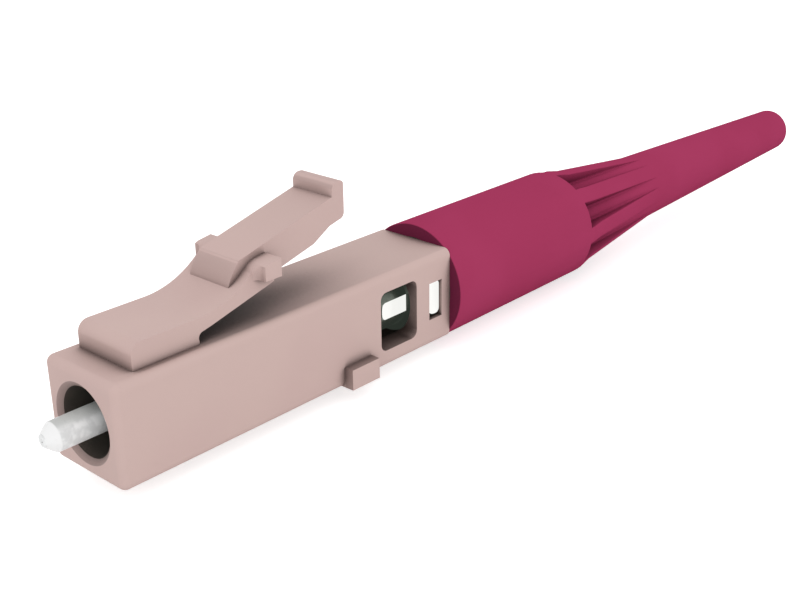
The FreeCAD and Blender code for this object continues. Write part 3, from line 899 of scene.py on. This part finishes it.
def turned_lines_group():
    """Fine rings left by turning or grinding about the X axis."""
    tree, given, made = shader_group("turned_lines", [
        ("Vector", "NodeSocketVector", None),
        ("Line Pitch", "NodeSocketFloat", 0.05),
        ("Patch Size", "NodeSocketFloat", 1.0),
    ], [("Height", "NodeSocketFloat"), ("Patch", "NodeSocketFloat")])
    lines = sized_noise(tree, given, "Line Pitch", 2.0, stretch=(1.0, 0.02, 0.02))
    patch = sized_noise(tree, given, "Patch Size", 3.0)
    tree.links.new(lines.outputs["Fac"], made.inputs["Height"])
    tree.links.new(smooth_range(tree, patch.outputs["Fac"], 0.36, 0.64), made.inputs["Patch"])
    return tree


def painted_crease_shade_group():
    """How open the surface is, for painted shade in corners and creases: 1 in the open, and less
    by the depth in a tight corner.
    """
    tree, given, made = shader_group("crease", [
        ("Reach", "NodeSocketFloat", 0.001),
        ("Depth", "NodeSocketFloat", 0.3),
        ("Closed At", "NodeSocketFloat", 0.2),
        ("Clear At", "NodeSocketFloat", 0.9),
    ], [("Open", "NodeSocketFloat")])
    near = tree_node(tree, "ShaderNodeAmbientOcclusion", samples=8)
    tree.links.new(given.outputs["Reach"], near.inputs["Distance"])
    lowest = arithmetic(tree, "SUBTRACT", 1.0, given.outputs["Depth"])
    shown = tree_node(tree, "ShaderNodeMapRange", interpolation_type="SMOOTHSTEP")
    tree.links.new(near.outputs["AO"], shown.inputs["Value"])
    tree.links.new(given.outputs["Closed At"], shown.inputs["From Min"])
    tree.links.new(given.outputs["Clear At"], shown.inputs["From Max"])
    tree.links.new(lowest, shown.inputs["To Min"])
    tree.links.new(shown.outputs[0], made.inputs["Open"])
    return tree


GROUPS = {
    "skin": moulded_skin_group(),
    "lines": turned_lines_group(),
    "crease": painted_crease_shade_group(),
}


def colour(levels):
    """Linear colour from sRGB values of 0 to 255."""
    found = []
    for value in levels:
        share = value / 255
        found.append(share / 12.92 if share <= 0.04045 else ((share + 0.055) / 1.055) ** 2.4)
    return (*found, 1.0)


def grey(level):
    return (level, level, level, 1.0)


UP = (0.0, 0.0, 1.0)
AHEAD = (-1.0, 0.0, 0.0)
FACING = (0.9, 0.99)
SQUARE_ON = (0.975, 0.99)


class Finish:
    """A material with its Principled shader, object coordinates and short ways to wire nodes."""

    def __init__(self, name, roughness, metallic=0.0):
        self.material = bpy.data.materials.new(name)
        self.material.use_nodes = True
        self.tree = self.material.node_tree
        self.shader = self.tree.nodes["Principled BSDF"]
        self.shader.inputs["Roughness"].default_value = roughness
        self.shader.inputs["Metallic"].default_value = metallic
        own_space = tree_node(self.tree, "ShaderNodeTexCoord")
        self.place = own_space.outputs["Object"]
        self.normal = own_space.outputs["Normal"]

    def link(self, source, target):
        self.tree.links.new(source, target)

    def group(self, key, **values):
        node = tree_node(self.tree, "ShaderNodeGroup", node_tree=GROUPS[key])
        if "Vector" in node.inputs:
            self.link(self.place, node.inputs["Vector"])
        for name, value in values.items():
            node.inputs[name.replace("_", " ").title()].default_value = value
        return node

    def mixed(self, factor, first, second, blend="MIX"):
        node = tree_node(self.tree, "ShaderNodeMix", data_type="RGBA", blend_type=blend)
        for target, value in (("Factor_Float", factor), ("A_Color", first), ("B_Color", second)):
            found = next(s for s in node.inputs if s.identifier == target)
            if isinstance(value, bpy.types.NodeSocket):
                self.link(value, found)
            else:
                found.default_value = value
        return next(s for s in node.outputs if s.identifier == "Result_Color")

    def ranged(self, source, low, high):
        node = tree_node(self.tree, "ShaderNodeMapRange")
        node.inputs["To Min"].default_value = low
        node.inputs["To Max"].default_value = high
        self.link(source, node.inputs["Value"])
        return node.outputs[0]

    def larger(self, first, second):
        return arithmetic(self.tree, "MAXIMUM", first, second)

    def product(self, first, second):
        return arithmetic(self.tree, "MULTIPLY", first, second)

    def along(self, vector, axis):
        """One axis of a vector."""
        parts = tree_node(self.tree, "ShaderNodeSeparateXYZ")
        self.link(vector, parts.inputs[0])
        return parts.outputs[axis]

    def leaning(self, way, low, high):
        """Goes from 0 to 1 as the surface turns to face this way."""
        share = tree_node(self.tree, "ShaderNodeVectorMath", operation="DOT_PRODUCT")
        self.link(self.normal, share.inputs[0])
        share.inputs[1].default_value = way
        return smooth_range(self.tree, share.outputs["Value"], low, high)

    def stepped(self, source, at, blur, falling=False):
        """Goes from 0 to 1 where this length passes the given one, over twice the blur."""
        return smooth_range(self.tree, source, (at - blur) * MM, (at + blur) * MM, falling)

    def step_at(self, x, blur, falling=False):
        """Goes from 0 to 1, or back, where the part passes this place along its length."""
        return self.stepped(self.along(self.place, "X"), x, blur, falling)

    def inside(self, radius, blur):
        """Is 1 within this radius round the plug's axis."""
        across = tree_node(self.tree, "ShaderNodeVectorMath", operation="MULTIPLY")
        across.inputs[1].default_value = (0.0, 1.0, 1.0)
        self.link(self.place, across.inputs[0])
        size = tree_node(self.tree, "ShaderNodeVectorMath", operation="LENGTH")
        self.link(across.outputs[0], size.inputs[0])
        return self.stepped(size.outputs["Value"], radius, blur, falling=True)

    def beside(self, half, blur):
        """Is 1 farther out along Y than this, on either side."""
        out = arithmetic(self.tree, "ABSOLUTE", self.along(self.place, "Y"))
        return self.stepped(out, half, blur)

    def sideways(self):
        """Is 1 where the surface faces straight along Y."""
        size = arithmetic(self.tree, "ABSOLUTE", self.along(self.normal, "Y"))
        return smooth_range(self.tree, size, *SQUARE_ON)

    def base(self, source):
        self.link(source, self.shader.inputs["Base Color"])

    def glow(self, source):
        self.link(source, self.shader.inputs["Emission Color"])
        self.shader.inputs["Emission Strength"].default_value = 1.0

    def bump(self, height, depth):
        node = tree_node(self.tree, "ShaderNodeBump")
        node.inputs["Strength"].default_value = 1.0
        node.inputs["Distance"].default_value = depth * MM
        self.link(height, node.inputs["Height"])
        self.link(node.outputs[0], self.shader.inputs["Normal"])


# Where the plug gets painted shade, and by what: the slab's front, the tabs and the mouth's ring,
# the tops
SLAB_WAY = (-0.9, 0.0, 0.44)
SLAB_BLUR = 0.3
SLAB_PAINTED_SHADE = 0.84
TAB_OUT = 0.03
TAB_BLUR = 0.02
RING_OUT = 0.004
RING_BLUR = 0.002
RING_DEPTH = 0.08
RING_FADE = 0.02
TAB_AND_RING_PAINTED_SHADE = 0.70
TOP_FACING = (0.93, 0.99)
TOP_START = 9.0
TOP_BLUR = 2.5
TOP_PAINTED_SHADE = 0.93
BORE_SIGHT_R = 1.6
BORE_BLUR = 0.05

# The short painted shade in corners that every moulding has beside its own wide one
NEAR_PAINTED_SHADE = {"reach": 0.6 * MM, "depth": 0.4, "closed_at": 0.35, "clear_at": 0.95}
CLEAR_AT = 0.95
ROUGH_SWING = 0.08


def plug_painted_shade(made, tone):
    """Painted shade on the slab's front, the side tabs and the mouth's ring, and a little on flat
    tops at the rear."""
    def painted_darker(level):
        return made.mixed(1.0, tone, grey(level), "MULTIPLY")

    on_slab = made.product(made.leaning(SLAB_WAY, *FACING), made.step_at(BLEND_END, SLAB_BLUR))
    outside = made.beside(PLUG_HALF + TAB_OUT, TAB_BLUR)
    on_tab = made.product(outside, made.ranged(made.sideways(), 1.0, 0.0))
    at_mouth = made.step_at(RING_DEPTH, RING_FADE, falling=True)
    on_ring = made.product(made.inside(MOUTH_R + RING_OUT, RING_BLUR), at_mouth)
    on_top = made.product(made.leaning(UP, *TOP_FACING), made.step_at(TOP_START, TOP_BLUR))
    shown = made.mixed(on_top, tone, painted_darker(TOP_PAINTED_SHADE))
    shown = made.mixed(on_slab, shown, painted_darker(SLAB_PAINTED_SHADE))
    return made.mixed(made.larger(on_tab, on_ring), shown, painted_darker(TAB_AND_RING_PAINTED_SHADE))


def moulded(
        name, dark, light, painted_shade_tint, roughness, grain, depth,
        crease=0.95, reach=12.0, gloss=0.3, closed=0.2, front=None, bore=None):
    """Moulded plastic or rubber, with painted shade in its corners and creases. The plug's has
    painted shade on its slab front, tabs, mouth ring and rear tops, and its own painted shade
    colour inside the nose; the boot's has painted shade on its front face."""
    made = Finish(name, roughness)
    made.shader.inputs["Specular IOR Level"].default_value = gloss
    skin = made.group("skin", grain_size=grain, drift_size=5.0, drift=0.8)
    tone = made.mixed(skin.outputs["Tone"], colour(dark), colour(light))
    shade_tint = colour(painted_shade_tint)
    if bore:
        tone = plug_painted_shade(made, tone)
        # Inside the nose the painted shade takes its own dark colour
        shade_tint = made.mixed(made.inside(BORE_SIGHT_R, BORE_BLUR), shade_tint, colour(bore))
    # Painted shade in corners and creases, a wide one and a short one
    far = made.group("crease", reach=reach * MM, depth=crease, closed_at=closed, clear_at=CLEAR_AT)
    near = made.group("crease", **NEAR_PAINTED_SHADE)
    open_share = made.product(far.outputs["Open"], near.outputs["Open"])
    shaded = made.mixed(open_share, shade_tint, tone)
    if front:
        # Painted shade on the boot's front face, beside the plug
        shaded = made.mixed(made.leaning(AHEAD, *FACING), shaded, colour(front))
    made.base(shaded)
    rough = made.ranged(skin.outputs["Height"], roughness - ROUGH_SWING, roughness + ROUGH_SWING)
    made.link(rough, made.shader.inputs["Roughness"])
    made.bump(skin.outputs["Height"], depth)
    return made.material


# Colour of the painted shade in the metal's corners and creases
METAL_PAINTED_SHADE = (44, 46, 42)
# The flats' base under their painted glint, a faint painted greenish glow elsewhere, and the
# glint's blue share
FLAT_BASE = (70, 70, 68)
METAL_PAINTED_GLOW = (0.024, 0.030, 0.024, 1)
FLAT_GLINT_BLUE = 0.97
FLAT_BLUR = 0.01


def metal(name, dark, light, rough, pitch, depth, flats=0.0, crease=0.5):
    """Turned metal with painted shade in its creases. Its flats, which face straight sideways, can
    carry a painted glint, and then the rest carries a faint painted greenish glow.
    """
    made = Finish(name, rough[0], metallic=1.0)
    lines = made.group("lines", line_pitch=pitch, patch_size=0.8)
    tone = made.mixed(lines.outputs["Patch"], colour(dark), colour(light))
    if flats:
        # Painted glint on the flats that face straight sideways, in front of the plug's end
        glinting_flat = made.product(made.sideways(), made.step_at(PLUG_END, FLAT_BLUR, falling=True))
        tone = made.mixed(glinting_flat, tone, colour(FLAT_BASE))
        made.glow(made.mixed(glinting_flat, METAL_PAINTED_GLOW, (flats, flats, FLAT_GLINT_BLUE * flats, 1)))
    # Painted shade in the metal's corners and creases
    near = made.group("crease", reach=3.0 * MM, depth=crease, closed_at=0.2)
    open_share = near.outputs["Open"]
    if flats:
        open_share = made.larger(open_share, glinting_flat)
    made.base(made.mixed(open_share, colour(METAL_PAINTED_SHADE), tone))
    made.link(made.ranged(lines.outputs["Patch"], *rough), made.shader.inputs["Roughness"])
    made.bump(lines.outputs["Height"], depth)
    return made.material


GROUND_DARK = (224, 225, 225)
GROUND_LIGHT = (250, 251, 251)
# Painted shade on the rod's top
GROUND_TOP_PAINTED_SHADE = (200, 202, 200)
CONE_TONE = (244, 244, 244)
# Colour of the painted shade in the rod's corners
CERAMIC_PAINTED_SHADE = (60, 62, 58)
CONE_INSET = 0.015
FACE_BLUR = 0.01
CONE_BLUR = 0.03
# Painted glow in the fibre hole
FIBRE_PAINTED_GLOW = 0.14
FIBRE_OUT = 0.002


def ceramic():
    """Ground grey-white rod, painted darker on its top as shade, with painted shade in creases on
    its upper side and a painted glow in the fibre hole; its polished tip cone is lighter than the
    rod and the end face.
    """
    made = Finish("ferrule_ceramic", 0.3)
    made.shader.inputs["Specular IOR Level"].default_value = 0.3
    lines = made.group("lines", line_pitch=0.03, patch_size=0.45)
    ground = made.mixed(lines.outputs["Patch"], colour(GROUND_DARK), colour(GROUND_LIGHT))
    # The rod's top is painted darker as shade
    ground = made.mixed(made.leaning(UP, 0.55, 1.0), ground, colour(GROUND_TOP_PAINTED_SHADE))
    behind_face = made.step_at(FERRULE_LOW.x + TIP_DOME + CONE_INSET, FACE_BLUR)
    behind_cone = made.step_at(FERRULE_LOW.x + TIP_TAPER, CONE_BLUR)
    polished = made.mixed(behind_face, ground, colour(CONE_TONE))
    tone = made.mixed(behind_cone, polished, ground)
    # Painted shade in corners and creases, only on the upper side
    near = made.group("crease", reach=1.0 * MM, depth=0.5, closed_at=0.2)
    shaded = made.mixed(near.outputs["Open"], colour(CERAMIC_PAINTED_SHADE), tone)
    made.base(made.mixed(made.leaning(UP, 0.35, 1.0), tone, shaded))
    # Painted glow in the fibre hole
    in_hole = made.inside(FIBRE_R + FIBRE_OUT, FIBRE_OUT / 2)
    made.glow(made.mixed(in_hole, grey(0.0), grey(FIBRE_PAINTED_GLOW)))
    made.link(made.ranged(lines.outputs["Patch"], 0.45, 0.25), made.shader.inputs["Roughness"])
    made.bump(lines.outputs["Height"], 0.0008)
    return made.material


# Each crease tint below is the colour of painted shade in corners and creases; the plug's bore
# colour is painted shade inside the nose, and the boot's front colour is painted shade on its
# front face beside the plug
HOUSING = moulded(
    "housing_plastic", dark=(204, 177, 172), light=(207, 181, 175), painted_shade_tint=(48, 36, 32),
    roughness=0.5, grain=0.05, depth=0.0025, gloss=0.06, bore=(48, 50, 44))
RUBBER = moulded(
    "boot_rubber", dark=(165, 58, 94), light=(169, 61, 98), painted_shade_tint=(40, 8, 20),
    roughness=0.6, grain=0.04, depth=0.0020, reach=6.0, gloss=0.0, closed=0.35,
    front=(106, 37, 63))
CERAMIC = ceramic()
# The plated metal's flats carry a painted glint
PLATED = metal(
    "plated_metal", dark=(70, 78, 70), light=(120, 124, 116), rough=(0.16, 0.26),
    pitch=0.04, depth=0.0006, flats=0.9, crease=0.95)
SLEEVE = metal(
    "sleeve_metal", dark=(186, 186, 184), light=(214, 214, 212), rough=(0.25, 0.38),
    pitch=0.06, depth=0.0015)
WIRE = metal(
    "spring_steel", dark=(150, 150, 148), light=(188, 188, 186), rough=(0.18, 0.3),
    pitch=0.03, depth=0.0006)
TUBE = moulded(
    "tube_plastic", dark=(222, 222, 216), light=(236, 236, 232), painted_shade_tint=(150, 148, 140),
    roughness=0.4, grain=0.05, depth=0.001, crease=0.2)


def dress(piece, material):
    piece.data.materials.clear()
    piece.data.materials.append(material)


def repaint(node, material):
    """Gives a frame node that stays visible its better finish."""
    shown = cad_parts[node]
    for place in shown.material_slots:
        place.link = "OBJECT"
        place.material = material


def pieces_in_place():
    shell = plug_shell()
    dress(shell, HOUSING)
    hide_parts("housing")
    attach(shell, "plug")

    arm = latch()
    dress(arm, HOUSING)
    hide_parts("latch_arm")
    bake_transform(arm)

    rod = ferrule_rod()
    dress(rod, CERAMIC)
    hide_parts("ferrule")
    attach(rod, "ferrule_set")

    body = stop_body()
    dress(body, PLATED)
    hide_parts("rear_body")
    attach(body, "plug")

    boot = boot_skin(RUBBER)
    dress(boot, RUBBER)
    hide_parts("boot")
    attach(boot, "plug")

    spring = wound_spring(WIRE)
    dress(spring, WIRE)
    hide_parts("spring")
    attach(spring, "plug")
    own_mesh(spring)

    repaint("ferrule_holder", PLATED)
    repaint("guide_tube", TUBE)
    repaint("crimp_sleeve", SLEEVE)


FLOOR_Z = BOOT_LOW.z - 0.01
FLOOR_HALF = 3000.0
FLOOR_LEVEL = 0.86
FLOOR_GLOW = 0.62
WORLD_LEVEL = 0.93
CAMERA_PLACE = Vector((-22.324, -36.670, 22.261))
CAMERA_TURN = (67.183, 0.635, -47.913)
CAMERA_LENS = 54.90


def seen_by(tree, kinds):
    """Is 1 for the rays of these kinds."""
    path = tree_node(tree, "ShaderNodeLightPath")
    seen = path.outputs[kinds[0]]
    for kind in kinds[1:]:
        seen = arithmetic(tree, "MAXIMUM", seen, path.outputs[kind])
    return seen


def floor_material():
    """White for what looks at it, with the object's soft shadow kept, and clear from below."""
    made = bpy.data.materials.new("floor_white")
    made.use_nodes = True
    tree = made.node_tree
    shader = tree.nodes["Principled BSDF"]
    shader.inputs["Base Color"].default_value = grey(FLOOR_LEVEL)
    shader.inputs["Roughness"].default_value = 0.9
    shader.inputs["Specular IOR Level"].default_value = 0.0
    seen = seen_by(tree, ("Is Camera Ray", "Is Glossy Ray"))
    glow = arithmetic(tree, "MULTIPLY", seen, FLOOR_GLOW)
    shader.inputs["Emission Color"].default_value = grey(1.0)
    tree.links.new(glow, shader.inputs["Emission Strength"])
    side = tree_node(tree, "ShaderNodeNewGeometry")
    clear = tree_node(tree, "ShaderNodeBsdfTransparent")
    choose = tree_node(tree, "ShaderNodeMixShader")
    tree.links.new(side.outputs["Backfacing"], choose.inputs[0])
    tree.links.new(shader.outputs[0], choose.inputs[1])
    tree.links.new(clear.outputs[0], choose.inputs[2])
    tree.links.new(choose.outputs[0], tree.nodes["Material Output"].inputs["Surface"])
    return made


def stage():
    signs = [(-1, -1), (1, -1), (1, 1), (-1, 1)]
    corners = [(a * FLOOR_HALF, b * FLOOR_HALF, FLOOR_Z) for a, b in signs]
    floor = new_piece("floor", corners, [(0, 1, 2, 3)])
    floor.data.materials.append(floor_material())
    floor.visible_shadow = False


def world_light():
    """Even light from all round; what looks straight at the background sees plain white."""
    world = bpy.data.worlds.new("studio")
    bpy.context.scene.world = world
    world.use_nodes = True
    tree = world.node_tree
    back = tree.nodes["Background"]
    level = tree_node(tree, "ShaderNodeMapRange")
    level.inputs["To Min"].default_value = WORLD_LEVEL
    level.inputs["To Max"].default_value = 1.0
    seen = seen_by(tree, ("Is Camera Ray", "Is Glossy Ray", "Is Transmission Ray"))
    tree.links.new(seen, level.inputs["Value"])
    tree.links.new(level.outputs[0], back.inputs["Strength"])
    back.inputs["Color"].default_value = grey(1.0)


def lamp(name, place, aim, size, power):
    data = bpy.data.lights.new(name, "AREA")
    data.size = size * MM
    data.energy = power
    made = bpy.data.objects.new(name, data)
    made.location = Vector(place) * MM
    made.rotation_euler = (Vector(aim) - Vector(place)).to_track_quat("-Z", "Y").to_euler()
    bpy.context.scene.collection.objects.link(made)


def lamps():
    lamp("key_light", place=(-200, -350, 80), aim=(20, 0, 0), size=260, power=0.22)
    lamp("rear_light", place=(300, 260, 260), aim=(25, 0, 0), size=260, power=0.06)


def camera():
    data = bpy.data.cameras.new("photo_camera")
    data.sensor_width = 36
    data.lens = CAMERA_LENS
    data.clip_start = 1 * MM
    data.clip_end = 10
    made = bpy.data.objects.new("photo_camera", data)
    made.location = CAMERA_PLACE * MM
    made.rotation_euler = Euler([math.radians(a) for a in CAMERA_TURN])
    bpy.context.scene.collection.objects.link(made)
    bpy.context.scene.camera = made


pieces_in_place()
stage()
world_light()
lamps()
camera()
bpy.context.scene.view_settings.view_transform = "Standard"
